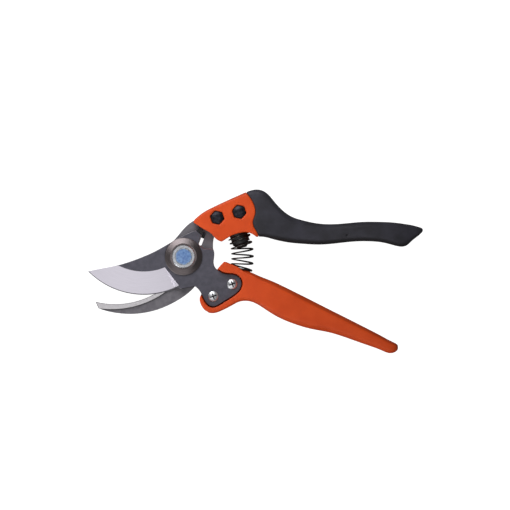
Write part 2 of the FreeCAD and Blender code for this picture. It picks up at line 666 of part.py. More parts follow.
def spring_orbit_angle(turn):
    """The orbit angle after some turns: closed end coils, an even pitch between them."""
    closed = math.degrees(2 * WIRE_RADIUS / SPRING_ORBIT)
    end = END_COIL_TURNS
    span = SPRING_TOP - SPRING_BOTTOM - 2 * end * closed
    if turn < end:
        return SPRING_TOP - turn * closed
    if turn > SPRING_TURNS - end:
        return SPRING_BOTTOM + (SPRING_TURNS - turn) * closed
    return SPRING_TOP - end * closed - span * (turn - end) / (SPRING_TURNS - 2 * end)


def make_spring():
    steps_per_turn = 16
    steps = int(SPRING_TURNS * steps_per_turn)
    points = []
    for k in range(steps + 1):
        turn = k / steps_per_turn
        coil = 2 * math.pi * turn
        x, y = orbit_place(spring_orbit_angle(turn), SPRING_ORBIT + SPRING_RADIUS * math.cos(coil))
        points.append(V(x, y, SPRING_Z + SPRING_RADIUS * math.sin(coil)))
    curve = Part.BSplineCurve()
    curve.interpolate(points)
    spine = Part.Wire(curve.toShape())
    start = curve.value(curve.FirstParameter)
    tangent = curve.tangent(curve.FirstParameter)[0]
    profile = Part.Wire(Part.makeCircle(WIRE_RADIUS, start, tangent))
    return spine.makePipeShell([profile], True, True)


def make_blade_screws():
    solids = []
    for place in SCREW_PLACES:
        shank = disc(SCREW_RADIUS, SHANK_END, BLADE_FRONT, place)
        head = Part.makeSphere(SCREW_DOME, point(place, BLADE_FRONT + SCREW_HEAD_HEIGHT - SCREW_DOME))
        head = head.common(disc(SCREW_HEAD_RADIUS, BLADE_FRONT, OVER, place))
        screw = shank.fuse(head)
        length, width = SCREW_SLOT
        for turn in (SCREW_TURN, SCREW_TURN + 90.0):
            wing = Part.makeBox(length, width, SCREW_HEAD_HEIGHT, V(-length / 2, -width / 2, 0))
            wing.rotate(V(0, 0, 0), V(0, 0, 1), turn)
            wing.translate(point(place, BLADE_FRONT + SCREW_SLOT_FLOOR))
            screw = screw.cut(wing)
        solids.append(screw)
    return Part.Compound(solids)


def make_blade_inserts():
    solids = []
    for place in SCREW_PLACES:
        solids.append(ring(INSERT_RADIUS, SCREW_RADIUS, SHANK_END, INSERT_LENGTH, place))
    return Part.Compound(solids)


# ---------------------------------------------------------------- thumb lock
def make_lock_slider():
    flange_radius = LOCK_FLANGE_WIDTH / 2
    base_start = along(LOCK_OUTER, LOCK_ANGLE, LOCK_FLANGE_TAIL + flange_radius)
    base_end = along(LOCK_OUTER, LOCK_ANGLE, LOCK_FLANGE_TAIL + LOCK_FLANGE_LENGTH - flange_radius)
    base = obround(base_start, base_end, flange_radius, COUNTER_REAR - LOCK_FLANGE_DEPTH,
                   COUNTER_REAR - LOCK_FACE_GAP)
    half = LOCK_PAD_LENGTH / 2 - LOCK_PAD_WIDTH / 2
    middle = along(LOCK_OUTER, LOCK_ANGLE, LOCK_PAD_OFFSET)
    pad = obround(along(middle, LOCK_ANGLE, -half), along(middle, LOCK_ANGLE, half),
                  LOCK_PAD_WIDTH / 2, LOCK_PAD_REAR, COUNTER_REAR - 0.5)
    for k in range(-2, 3):
        rib = along(middle, LOCK_ANGLE, LOCK_RIB_STEP * k)
        across = LOCK_ANGLE - 90
        start = point(along(rib, across, -LOCK_PAD_WIDTH), LOCK_PAD_REAR)
        direction = point(along((0, 0), across, 1.0))
        groove = Part.makeCylinder(LOCK_RIB_RADIUS, 2 * LOCK_PAD_WIDTH, start, direction)
        pad = pad.cut(groove)
    return base.fuse(pad).cut(disc(LOCK_PIN_RADIUS, LOCK_PIN_REAR, OVER, LOCK_OUTER))


def make_lock_pin():
    return disc(LOCK_PIN_RADIUS, LOCK_PIN_REAR, BLADE_REAR + LOCK_PIN_BITE, LOCK_OUTER)


# ---------------------------------------------------------------- write the pieces
def main():
    os.makedirs("parts", exist_ok=True)
    upper = upper_body()
    pieces = {
        "counter_blade": make_counter_blade(),
        "cutting_blade": make_cutting_blade(),
        "pivot_bolt": make_pivot_bolt(),
        "pivot_disc": make_pivot_disc(),
        "pivot_cap_washer": make_pivot_cap(),
        "pivot_disc_spring": make_disc_spring(),
        "pivot_bush": make_pivot_bush(),
        "pivot_rear_washer": make_rear_washer(),
        "pivot_nut": make_pivot_nut(),
        "upper_handle_frame": make_upper_handle(upper),
        "soft_grip": make_soft_grip(upper),
        "opening_stop_pad": make_stop_pad(),
        "spring_peg": make_spring_peg(),
        "handle_bolts": make_handle_bolts(),
        "handle_nuts": make_handle_nuts(),
        "lower_handle": make_lower_handle(),
        "spring_seat_ring": make_spring_seat(),
        "return_spring": make_spring(),
        "blade_screws": make_blade_screws(),
        "blade_inserts": make_blade_inserts(),
        "lock_slider": make_lock_slider(),
        "lock_pin": make_lock_pin(),
    }
    for name, shape in pieces.items():
        shape.exportStep("parts/" + name + ".step")
        box = shape.BoundBox
        print("%-20s solids %d volume %9.1f valid %s  x %.1f..%.1f y %.1f..%.1f z %.2f..%.2f" % (
            name, len(shape.Solids), shape.Volume, shape.isValid(),
            box.XMin, box.XMax, box.YMin, box.YMax, box.ZMin, box.ZMax))


main()
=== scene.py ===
# %% [markdown]
# # A bypass pruner, finished for a studio picture
# The tool's mechanism arrives as a fixed model: two blades on one pivot, two handles, a coil spring and a
# thumb lock. This lesson gives that model its looks. It moulds the handles with soft edges, winds the spring
# from wire, and makes each finish from what the real surface is: coated steel, ground steel, moulded nylon.
# Everything is in metres. X runs from the pivot to the grips, Y to the upper handle, Z out of the front face.

# %% Load the model
import math

import bmesh
import bpy
from mathutils import Matrix, Vector


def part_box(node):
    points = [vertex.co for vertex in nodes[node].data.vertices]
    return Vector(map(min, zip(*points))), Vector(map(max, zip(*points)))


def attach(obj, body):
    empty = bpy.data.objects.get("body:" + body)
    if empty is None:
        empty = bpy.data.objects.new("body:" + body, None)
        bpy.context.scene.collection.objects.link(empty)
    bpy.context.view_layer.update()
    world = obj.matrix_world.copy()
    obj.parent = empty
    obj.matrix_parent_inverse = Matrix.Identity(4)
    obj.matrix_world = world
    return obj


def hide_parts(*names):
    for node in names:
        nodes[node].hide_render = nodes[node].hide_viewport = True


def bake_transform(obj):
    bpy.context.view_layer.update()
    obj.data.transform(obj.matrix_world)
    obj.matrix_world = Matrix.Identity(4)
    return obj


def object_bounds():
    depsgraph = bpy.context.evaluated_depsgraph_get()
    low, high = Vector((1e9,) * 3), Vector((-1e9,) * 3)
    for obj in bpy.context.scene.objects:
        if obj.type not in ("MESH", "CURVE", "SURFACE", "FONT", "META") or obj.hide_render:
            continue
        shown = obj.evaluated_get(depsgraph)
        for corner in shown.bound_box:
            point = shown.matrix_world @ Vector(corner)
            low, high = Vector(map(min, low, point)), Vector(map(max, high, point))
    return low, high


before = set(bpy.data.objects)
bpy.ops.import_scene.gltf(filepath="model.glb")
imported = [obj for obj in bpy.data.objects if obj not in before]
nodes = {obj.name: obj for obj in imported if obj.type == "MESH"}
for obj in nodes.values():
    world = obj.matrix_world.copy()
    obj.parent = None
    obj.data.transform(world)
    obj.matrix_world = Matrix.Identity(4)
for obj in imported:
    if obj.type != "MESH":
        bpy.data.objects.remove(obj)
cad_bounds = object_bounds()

# %% [markdown]
# ## Small helpers
# Colours are written as the hex codes that a paint card or a screen shows, which are sRGB, while shaders mix
# light in linear values, so one function converts them. A second adds a shader node with its settings, its
# fixed values and its links in one call. A third turns a real size into a texture's scale.

# %% Helpers for colours and shader nodes
MM = 0.001


def linear(code):
    """An sRGB hex colour as the linear RGBA that a shader needs."""
    channels = [int(code[k:k + 2], 16) / 255 for k in (0, 2, 4)]
    curve = [c / 12.92 if c <= 0.04045 else ((c + 0.055) / 1.055) ** 2.4 for c in channels]
    return (*curve, 1.0)


def add(tree, kind, values=None, links=None, **settings):
    """One node: its settings, the values of its free sockets and where its linked sockets come from."""
    node = tree.nodes.new(kind)
    for name, value in settings.items():
        setattr(node, name, value)
    for socket, value in (values or {}).items():
        node.inputs[socket].default_value = value
    for socket, source in (links or {}).items():
        tree.links.new(source, node.inputs[socket])
    return node


def per_size(size_mm):
    """A texture scale at which its pattern is about that many millimetres across."""
    return 1000.0 / size_mm


def start_material(name, roughness=0.5, ior=1.5, metallic=0.0):
    """A new material with its principled shader and a node that gives the place on the object, in metres."""
    material = bpy.data.materials.new(name)
    material.use_nodes = True
    tree = material.node_tree
    shader = tree.nodes["Principled BSDF"]
    shader.inputs["Roughness"].default_value = roughness
    shader.inputs["Metallic"].default_value = metallic
    if metallic == 0.0:
        shader.inputs["IOR"].default_value = ior
    place = add(tree, "ShaderNodeTexCoord").outputs["Object"]
    return material, tree, shader, place


# %% [markdown]
# ## Patterns that several finishes share
# Three patterns cover most of what moulding and grinding leave on a surface. Clouds are slow changes of
# tone, as in plastic that cooled unevenly. Grain is the fine pitting of a spark-eroded mould or a sprayed
# coat. Lines that run round a centre are what a lathe or a grinding wheel leaves. The last is noise read in
# polar coordinates, so it needs no UV map and stays the same on every face of the piece.

# %% Shared patterns
USUAL_RADIUS_MM = 60.0    # the run of a streak is right at this distance from its centre


def mixed(tree, share, low, high):
    """A colour between two hex colours."""
    mix = add(tree, "ShaderNodeMix", {6: linear(low), 7: linear(high)}, {0: share}, data_type="RGBA")
    return mix.outputs[2]


def clouds(tree, place, size_mm, low, high, detail=3.0):
    """A slow variation between two hex colours, in patches of that size."""
    noise = add(tree, "ShaderNodeTexNoise", {"Scale": per_size(size_mm), "Detail": detail}, {"Vector": place})
    spread = add(tree, "ShaderNodeMapRange", {1: 0.35, 2: 0.65}, {0: noise.outputs["Fac"]})
    return mixed(tree, spread.outputs[0], low, high)


def grain(tree, place, size_mm, depth_mm, strength=1.0):
    """A bump of fine pits; its normal goes to a shader."""
    noise = add(tree, "ShaderNodeTexNoise", {"Scale": per_size(size_mm), "Detail": 2.0}, {"Vector": place})
    bump = add(tree, "ShaderNodeBump", {"Strength": strength, "Distance": depth_mm * MM},
               {"Height": noise.outputs["Fac"]})
    return bump.outputs["Normal"]


def varied_roughness(tree, place, size_mm, low, high):
    """A roughness that wanders between two values, in patches of that size."""
    noise = add(tree, "ShaderNodeTexNoise", {"Scale": per_size(size_mm), "Detail": 3.0}, {"Vector": place})
    spread = add(tree, "ShaderNodeMapRange", {1: 0.3, 2: 0.7, 3: low, 4: high}, {0: noise.outputs["Fac"]})
    return spread.outputs[0]


def from_centre(tree, place, centre_mm):
    """The offset from an upright line through a centre, flattened to the plane."""
    centre = (centre_mm[0] * MM, centre_mm[1] * MM, 0.0)
    offset = add(tree, "ShaderNodeVectorMath", {1: centre}, {0: place}, operation="SUBTRACT")
    flat = add(tree, "ShaderNodeVectorMath", {1: (1.0, 1.0, 0.0)}, {0: offset.outputs[0]},
               operation="MULTIPLY")
    return flat.outputs[0]


def distance_from(tree, flat):
    """The length of a flattened offset."""
    return add(tree, "ShaderNodeVectorMath", links={0: flat}, operation="LENGTH").outputs["Value"]


def round_lines(tree, flat, spacing_mm, run_mm):
    """Noise drawn out along circles: streaks that far apart and about that long."""
    radius = distance_from(tree, flat)
    parts = add(tree, "ShaderNodeSeparateXYZ", links={0: flat})
    angle = add(tree, "ShaderNodeMath", links={0: parts.outputs[1], 1: parts.outputs[0]}, operation="ARCTAN2")
    stretch = spacing_mm * MM * USUAL_RADIUS_MM / run_mm
    along = add(tree, "ShaderNodeMath", {1: stretch}, {0: angle.outputs[0]}, operation="MULTIPLY")
    polar = add(tree, "ShaderNodeCombineXYZ", links={0: radius, 1: along.outputs[0]})
    noise = add(tree, "ShaderNodeTexNoise", {"Scale": per_size(spacing_mm), "Detail": 3.0},
                {"Vector": polar.outputs[0]})
    return noise.outputs["Fac"], radius


def height_of(tree, vector):
    """The upright part of a place or a direction."""
    return add(tree, "ShaderNodeSeparateXYZ", links={0: vector}).outputs[2]


def compare(tree, value, operation, limit):
    """1 where the value is above, or below, a limit."""
    return add(tree, "ShaderNodeMath", {1: limit}, {0: value}, operation=operation).outputs[0]


def both(tree, first, second):
    """1 where two masks are both 1."""
    return add(tree, "ShaderNodeMath", links={0: first, 1: second}, operation="MULTIPLY").outputs[0]


# %% [markdown]
# ## Handles: moulded nylon and a soft grip
# The handles are glass-filled nylon, injection moulded in a mould with a spark-eroded surface. That gives the
# eye a satin orange with pits finer than half a millimetre, and a broad, weak highlight. The grip is
# thermoplastic elastomer moulded over the nylon: darker, softer and rougher, slightly blue. Nylon's index of
# refraction is about 1.53 and the elastomer's about 1.49. Both get painted shade in one place, along the
# inside
# of the tail and under the grip: their colour is darkened there as if those faces lay in shade, and it stands
# for no mark on the real tool. The direction that a face leans in finds those places, so no mask has to be
# painted.

# %% Orange nylon and grip elastomer
# the directions of the faces that get painted shade: the inside of the tail and the underside of the grip
TAIL_INSIDE = (0.46, 0.89, 0.0)
GRIP_UNDERSIDE = (-0.1, -1.0, 0.0)


def with_painted_shade(tree, colour, direction, low, high, most, dark):
    """The colour with painted shade on the faces that lean towards a direction: none at low, the most at high.
    """
    normal = add(tree, "ShaderNodeNewGeometry").outputs["Normal"]
    lean = add(tree, "ShaderNodeVectorMath", {1: direction}, {0: normal}, operation="DOT_PRODUCT")
    shade_amount = add(tree, "ShaderNodeMapRange", {1: low, 2: high, 3: 0.0, 4: most}, {0: lean.outputs["Value"]},
                 interpolation_type="SMOOTHSTEP")
    mix = add(tree, "ShaderNodeMix", {7: linear(dark)}, {0: shade_amount.outputs[0], 6: colour}, data_type="RGBA")
    return mix.outputs[2]


def make_orange_nylon():
    material, tree, shader, place = start_material("moulded_nylon_orange", ior=1.53)
    clean = clouds(tree, place, 14.0, "CF4611", "DA4E17")
    # painted shade along the inside of the tail
    colour = with_painted_shade(tree, clean, TAIL_INSIDE, 0.25, 0.55, 0.5, "8E2F0C")
    tree.links.new(colour, shader.inputs["Base Color"])
    tree.links.new(varied_roughness(tree, place, 5.0, 0.38, 0.52), shader.inputs["Roughness"])
    # pits of 0.3 mm are too fine to show at this distance, so they are drawn at 0.6 mm
    tree.links.new(grain(tree, place, 0.6, 0.05, 0.6), shader.inputs["Normal"])
    shader.inputs["Specular IOR Level"].default_value = 0.22
    return material


def make_grip_elastomer():
    material, tree, shader, place = start_material("moulded_elastomer_dark_grey", ior=1.49)
    clean = clouds(tree, place, 11.0, "26252B", "33323B")
    # painted shade under the grip
    colour = with_painted_shade(tree, clean, GRIP_UNDERSIDE, 0.1, 0.7, 0.8, "0E0E11")
    tree.links.new(colour, shader.inputs["Base Color"])
    tree.links.new(varied_roughness(tree, place, 4.0, 0.46, 0.62), shader.inputs["Roughness"])
    tree.links.new(grain(tree, place, 0.7, 0.06, 0.7), shader.inputs["Normal"])
    shader.inputs["Specular IOR Level"].default_value = 0.3
    shader.inputs["Sheen Weight"].default_value = 0.04
    shader.inputs["Sheen Roughness"].default_value = 0.5
    return material


# %% [markdown]
# ## Blades: coated steel with ground faces
# The cutting blade is stamped from carbon steel plate, coated dark against sap and rust, and then ground. The
# wheel cuts through the coating, so the bevel is bare steel with lines that follow the edge. One material
# does both: a face that leans out of the plane is ground, a flat one keeps its coat. The last of the bevel is
# drawn as a thin dark line of painted shade along the cutting edge. The hook jaw is the other way about: only
# the raised land along its inside has met the wheel, and the corner below the land's step gets a line of
# painted shadow. The centres and radii below are those of the two arcs that the jaws were designed on.

# %% Blade finishes
# lengths are in millimetres
EDGE_CENTRE = (-25.5, 25.7)
EDGE_RADIUS = 50.2
# width and strength of the line of painted shade along the cutting edge
EDGE_SHADE_WIDTH = 0.6
EDGE_SHADE_STRENGTH = 0.85
LAND_CENTRE = (-46.2, 25.7)
LAND_RADIUS = 59.4
LAND_SHADOW = 0.9
BOSS_RADIUS = 19.0
BEVEL_LEAN = 0.3          # the plate's own sides point upward less than this
SHADOW_COLOUR = "2A292D"
SKIN = 0.03 * MM

blade_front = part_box("cutting_blade")[1].z
land_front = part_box("counter_blade")[1].z


def steel_and_coat(name, coat_low, coat_high, bare_low, bare_high, centre, find_bare_and_shade):
    """Dark satin coating, with bare ground steel and painted shade where find_bare_and_shade says; returns the
    material.
    """
    material, tree, shader, place = start_material(name)
    flat = from_centre(tree, place, centre)
    lines, radius = round_lines(tree, flat, 0.55, 14.0)
    coat = clouds(tree, place, 3.2, coat_low, coat_high, detail=5.0)
    bare = mixed(tree, lines, bare_low, bare_high)
    is_bare, dark = find_bare_and_shade(tree, place, radius)
    colour = add(tree, "ShaderNodeMix", links={0: is_bare, 6: coat, 7: bare}, data_type="RGBA")
    # painted shade from the second mask: the shadow line along the edge or below the land
    shaded = add(tree, "ShaderNodeMix", {7: linear(SHADOW_COLOUR)}, {0: dark, 6: colour.outputs[2]},
                 data_type="RGBA")
    tree.links.new(shaded.outputs[2], shader.inputs["Base Color"])
    tree.links.new(is_bare, shader.inputs["Metallic"])
    coat_rough = varied_roughness(tree, place, 1.4, 0.36, 0.5)
    bare_rough = add(tree, "ShaderNodeMapRange", {3: 0.24, 4: 0.4}, {0: lines}).outputs[0]
    rough = add(tree, "ShaderNodeMix", links={0: is_bare, 2: coat_rough, 3: bare_rough})
    tree.links.new(rough.outputs[0], shader.inputs["Roughness"])
    pits = grain(tree, place, 0.5, 0.03, 0.5)
    grooves = add(tree, "ShaderNodeBump", {"Strength": 0.35, "Distance": 0.02 * MM},
                  {"Height": lines, "Normal": pits})
    tree.links.new(grooves.outputs[0], shader.inputs["Normal"])
    return material


def bevel_is_bare(tree, place, radius):
    """The faces that lean: the bevel and the eased edge are bare, and the last of the bevel gets a line of
    painted shade.
    """
    upward = height_of(tree, add(tree, "ShaderNodeNewGeometry").outputs["True Normal"])
    facing = compare(tree, upward, "GREATER_THAN", BEVEL_LEAN)
    below = compare(tree, height_of(tree, place), "LESS_THAN", blade_front - SKIN)
    # a thin line of painted shade along the cutting edge
    at_edge = compare(tree, radius, "GREATER_THAN", (EDGE_RADIUS - EDGE_SHADE_WIDTH) * MM)
    is_bare = both(tree, facing, below)
    edge_shade_line = add(tree, "ShaderNodeMath", {1: EDGE_SHADE_STRENGTH}, {0: both(tree, at_edge, is_bare)},
                    operation="MULTIPLY").outputs[0]
    return is_bare, edge_shade_line


def land_is_bare(tree, place, radius):
    """The flat raised land, and a dark line of painted shadow in the corner below the land's step."""
    parts = add(tree, "ShaderNodeSeparateXYZ", links={0: place})
    high = compare(tree, parts.outputs[2], "GREATER_THAN", land_front - SKIN)
    inside = compare(tree, radius, "LESS_THAN", LAND_RADIUS * MM)
    from_pivot = distance_from(tree, from_centre(tree, place, (0.0, 0.0)))
    clear = compare(tree, from_pivot, "GREATER_THAN", BOSS_RADIUS * MM)
    jaw_side = compare(tree, parts.outputs[0], "LESS_THAN", 0.0)
    is_bare = both(tree, both(tree, high, inside), both(tree, clear, jaw_side))
    # painted shadow in the corner below the land's step, fading outwards
    past = add(tree, "ShaderNodeMath", {1: LAND_RADIUS * MM}, {0: radius}, operation="SUBTRACT")
    fade = add(tree, "ShaderNodeMapRange", {1: 0.0, 2: LAND_SHADOW * MM, 3: 0.9, 4: 0.0},
               {0: past.outputs[0]})
    outside = compare(tree, radius, "GREATER_THAN", LAND_RADIUS * MM)
    low = compare(tree, parts.outputs[2], "LESS_THAN", land_front - SKIN)
    dark = both(tree, both(tree, fade.outputs[0], outside), both(tree, low, clear))
    return is_bare, dark


# %% [markdown]
# ## Hardware: turned, plated and oxidised steel
# The pivot's cap washer is turned on a lathe and lightly blued, so it is brown-grey with a highlight that
# opens into a cone, because its grooves run round the centre. That is what anisotropy with a radial tangent
# describes. Nuts, bush and screws are zinc plated, and the screws' cross recesses and head walls get painted
# shade. The bolts' heads are black oxide, and the spring is dark oiled wire. The disc in the bolt's head is a
# plain blue enamelled insert in a silver ring, with no mark on it.

# %% Hardware finishes
RECESS_DEPTH_MM = 0.41    # the screws' domes stand at least this far above the blade
WALL_LEAN = 0.4
ENAMEL_RIM_MM = (4.6, 5.3)
ENAMEL_RAGGED_MM = 1.6


def make_turned_steel():
    material, tree, shader, place = start_material("turned_steel_blued", roughness=0.3, metallic=1.0)
    lines, _ = round_lines(tree, from_centre(tree, place, (0.0, 0.0)), 0.4, 20.0)
    tree.links.new(mixed(tree, lines, "5B5455", "7D7576"), shader.inputs["Base Color"])
    rough = add(tree, "ShaderNodeMapRange", {3: 0.26, 4: 0.4}, {0: lines})
    tree.links.new(rough.outputs[0], shader.inputs["Roughness"])
    shader.inputs["Anisotropic"].default_value = 0.85
    tangent = add(tree, "ShaderNodeTangent", direction_type="RADIAL", axis="Z")
    tree.links.new(tangent.outputs[0], shader.inputs["Tangent"])
    bump = add(tree, "ShaderNodeBump", {"Strength": 0.4, "Distance": 0.02 * MM}, {"Height": lines})
    tree.links.new(bump.outputs[0], shader.inputs["Normal"])
    return material


def make_zinc_plate():
    material, tree, shader, place = start_material("zinc_plated_steel", metallic=1.0)
    tree.links.new(clouds(tree, place, 3.0, "B2B4B9", "CDCFD4"), shader.inputs["Base Color"])
    tree.links.new(varied_roughness(tree, place, 1.5, 0.24, 0.36), shader.inputs["Roughness"])
    tree.links.new(grain(tree, place, 0.5, 0.02, 0.15), shader.inputs["Normal"])
    return material


def make_screw_plate():
    """Zinc plate, with painted shade in the cross recess and round the head's upright wall."""
    material, tree, shader, place = start_material("zinc_plated_screw_steel", metallic=1.0)
    bright = clouds(tree, place, 1.6, "C4C6CA", "E6E8EC")
    # painted shade in the cross recess and on the head's upright wall
    deep = compare(tree, height_of(tree, place), "LESS_THAN", blade_front + RECESS_DEPTH_MM * MM)
    upward = height_of(tree, add(tree, "ShaderNodeNewGeometry").outputs["True Normal"])
    wall = compare(tree, upward, "LESS_THAN", WALL_LEAN)
    recess_shade = add(tree, "ShaderNodeMath", links={0: deep, 1: wall}, operation="MAXIMUM").outputs[0]
    colour = add(tree, "ShaderNodeMix", {7: linear("2B2A2E")}, {0: recess_shade, 6: bright}, data_type="RGBA")
    tree.links.new(colour.outputs[2], shader.inputs["Base Color"])
    tree.links.new(varied_roughness(tree, place, 1.0, 0.3, 0.42), shader.inputs["Roughness"])
    tree.links.new(grain(tree, place, 0.6, 0.02, 0.25), shader.inputs["Normal"])
    return material


def make_black_oxide():
    material, tree, shader, place = start_material("black_oxide_steel", metallic=1.0)
    tree.links.new(clouds(tree, place, 1.8, "26262B", "3B3B42"), shader.inputs["Base Color"])
    tree.links.new(varied_roughness(tree, place, 1.2, 0.34, 0.5), shader.inputs["Roughness"])
    tree.links.new(grain(tree, place, 0.4, 0.03, 0.5), shader.inputs["Normal"])
    return material


def make_spring_wire():
    material, tree, shader, place = start_material("oiled_spring_wire", metallic=1.0)
    tree.links.new(clouds(tree, place, 1.5, "2B2A2A", "4A4846"), shader.inputs["Base Color"])
    tree.links.new(varied_roughness(tree, place, 0.8, 0.25, 0.42), shader.inputs["Roughness"])
    return material


def make_black_plastic():
    material, tree, shader, place = start_material("moulded_acetal_black", ior=1.48)
    tree.links.new(clouds(tree, place, 4.0, "121214", "1D1D20"), shader.inputs["Base Color"])
    tree.links.new(varied_roughness(tree, place, 2.0, 0.34, 0.5), shader.inputs["Roughness"])
    tree.links.new(grain(tree, place, 0.5, 0.03, 0.5), shader.inputs["Normal"])
    return material


def make_stop_rubber():
    material, tree, shader, place = start_material("stop_rubber_black", ior=1.52)
    tree.links.new(clouds(tree, place, 2.0, "141416", "222226"), shader.inputs["Base Color"])
    tree.links.new(varied_roughness(tree, place, 1.5, 0.6, 0.8), shader.inputs["Roughness"])
    tree.links.new(grain(tree, place, 0.4, 0.05), shader.inputs["Normal"])
    return material


def make_blue_enamel():
    material, tree, shader, place = start_material("enamelled_insert_blue", ior=1.5)
    inner = clouds(tree, place, 1.3, "4468A4", "7497C4", detail=4.0)
    rim = clouds(tree, place, 0.6, "5F666C", "A9B0B6", detail=4.0)
    radius = distance_from(tree, from_centre(tree, place, (0.0, 0.0)))
    wobble = add(tree, "ShaderNodeTexNoise", {"Scale": per_size(1.6), "Detail": 2.0}, {"Vector": place})
    ragged = add(tree, "ShaderNodeMath", {1: ENAMEL_RAGGED_MM * MM, 2: -ENAMEL_RAGGED_MM / 2 * MM},
                 {0: wobble.outputs["Fac"]}, operation="MULTIPLY_ADD")
    edge = add(tree, "ShaderNodeMath", links={0: radius, 1: ragged.outputs[0]}, operation="ADD")
    fade = add(tree, "ShaderNodeMapRange", {1: ENAMEL_RIM_MM[0] * MM, 2: ENAMEL_RIM_MM[1] * MM},
               {0: edge.outputs[0]})
    colour = add(tree, "ShaderNodeMix", links={0: fade.outputs[0], 6: inner, 7: rim}, data_type="RGBA")
    tree.links.new(colour.outputs[2], shader.inputs["Base Color"])
    tree.links.new(varied_roughness(tree, place, 1.0, 0.25, 0.4), shader.inputs["Roughness"])
    tree.links.new(grain(tree, place, 0.6, 0.04, 0.5), shader.inputs["Normal"])
    shader.inputs["Coat Weight"].default_value = 0.4
    shader.inputs["Coat Roughness"].default_value = 0.12
    return material


# %% Make every finish once
finishes = {
    "orange": make_orange_nylon(),
    "grip": make_grip_elastomer(),
    "blade": steel_and_coat("coated_and_ground_blade_steel", "403F4A", "4C4A56", "C2BEC8", "D5D1DB",
                            EDGE_CENTRE, bevel_is_bare),
    "hook": steel_and_coat("coated_forged_steel_with_ground_land", "5D5A61", "6D6A70", "BDBABE", "D9D6D9",
                           LAND_CENTRE, land_is_bare),
    "turned": make_turned_steel(),
    "zinc": make_zinc_plate(),
    "screw": make_screw_plate(),
    "black_steel": make_black_oxide(),
    "wire": make_spring_wire(),
    "black_plastic": make_black_plastic(),
    "rubber": make_stop_rubber(),
    "enamel": make_blue_enamel(),
}
print("finishes:", len(finishes))

# %% [markdown]
# ## Give the carried-over parts their finish
# Parts whose shape is already right keep it, and only their material changes.

# %% Materials for the parts that stay
FINISH_OF = {
    "counter_blade": "hook", "cutting_blade": "blade", "pivot_bolt": "zinc", "pivot_disc": "enamel",
    "pivot_cap_washer": "turned", "pivot_disc_spring": "wire", "pivot_bush": "zinc",
    "pivot_rear_washer": "zinc", "pivot_nut": "zinc", "upper_handle_frame": "orange", "soft_grip": "grip",
    "opening_stop_pad": "rubber", "spring_peg": "black_plastic", "handle_bolts": "black_steel",
    "handle_nuts": "black_steel", "lower_handle": "orange", "spring_seat_ring": "orange",
    "return_spring": "wire", "blade_screws": "screw", "blade_inserts": "zinc", "lock_slider": "black_plastic",
    "lock_pin": "black_steel",
}
for name, finish in FINISH_OF.items():
    for slot in nodes[name].material_slots:
        slot.material = finishes[finish]
print("finished parts:", len(FINISH_OF))

# %% [markdown]
# ## Handles with moulded edges
# A mould has no knife-sharp edges: each one is broken by half a millimetre or more, and that soft line of
# light is what makes a part look moulded. A bevel on a triangulated shell leaves slivers, so the shell is
# rebuilt on an even grid with a voxel remesh and its edges are relaxed by a few rounds of smoothing.

# %% Mould the three handle parts
def moulded(node, body, finish, voxel_mm, rounds):
    """A copy of a CAD part on an even grid of faces, with its edges relaxed."""
    shell = bpy.data.meshes.new(node + "_moulded")
    bm = bmesh.new()
    bm.from_mesh(nodes[node].data)
    bmesh.ops.remove_doubles(bm, verts=bm.verts, dist=0.002 * MM)
    bm.to_mesh(shell)
    bm.free()
    piece = bpy.data.objects.new(node + "_moulded", shell)
    bpy.context.scene.collection.objects.link(piece)
    remesh = piece.modifiers.new("even_grid", "REMESH")
    remesh.mode = "VOXEL"
    remesh.voxel_size = voxel_mm * MM
    relax = piece.modifiers.new("relaxed_edges", "SMOOTH")
    relax.factor = 0.5
    relax.iterations = rounds
    evaluated = piece.evaluated_get(bpy.context.evaluated_depsgraph_get())
    final = bpy.data.meshes.new_from_object(evaluated)
    piece.modifiers.clear()
    piece.data = final
    final.materials.clear()
    final.materials.append(finishes[finish])
    final.shade_smooth()
    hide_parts(node)
    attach(piece, body)
    print(piece.name, "faces:", len(final.polygons))
    return piece


moulded("upper_handle_frame", "upper", "orange", 0.42, 6)
moulded("lower_handle", "lower", "orange", 0.42, 6)
moulded("soft_grip", "upper", "grip", 0.45, 8)

# %% [markdown]
# ## The return spring
# The spring is a coil of 1 mm wire, bent round the pivot so that both ends stay square to their seats. A
# curve with a round bevel would do, but the spin operator shows how a coil is wound: a ring of wire turns
# about an axis while it moves along it. The first and last turn are wound close, as on a real spring, so the
# winding is three spins in a row. Each point is then carried round the pivot.

# %% Wind the spring
WIRE_RADIUS = 0.5 * MM
COIL_RADIUS = 6.8 * MM
ORBIT_RADIUS = 37.8 * MM
TOP_ANGLE = math.radians(20.6)
BOTTOM_ANGLE = math.radians(-13.0)
TURNS = 6.8
CLOSED_TURNS = 0.8
COIL_Z = 9.2 * MM
STEPS_PER_TURN = 40
WIRE_SIDES = 14


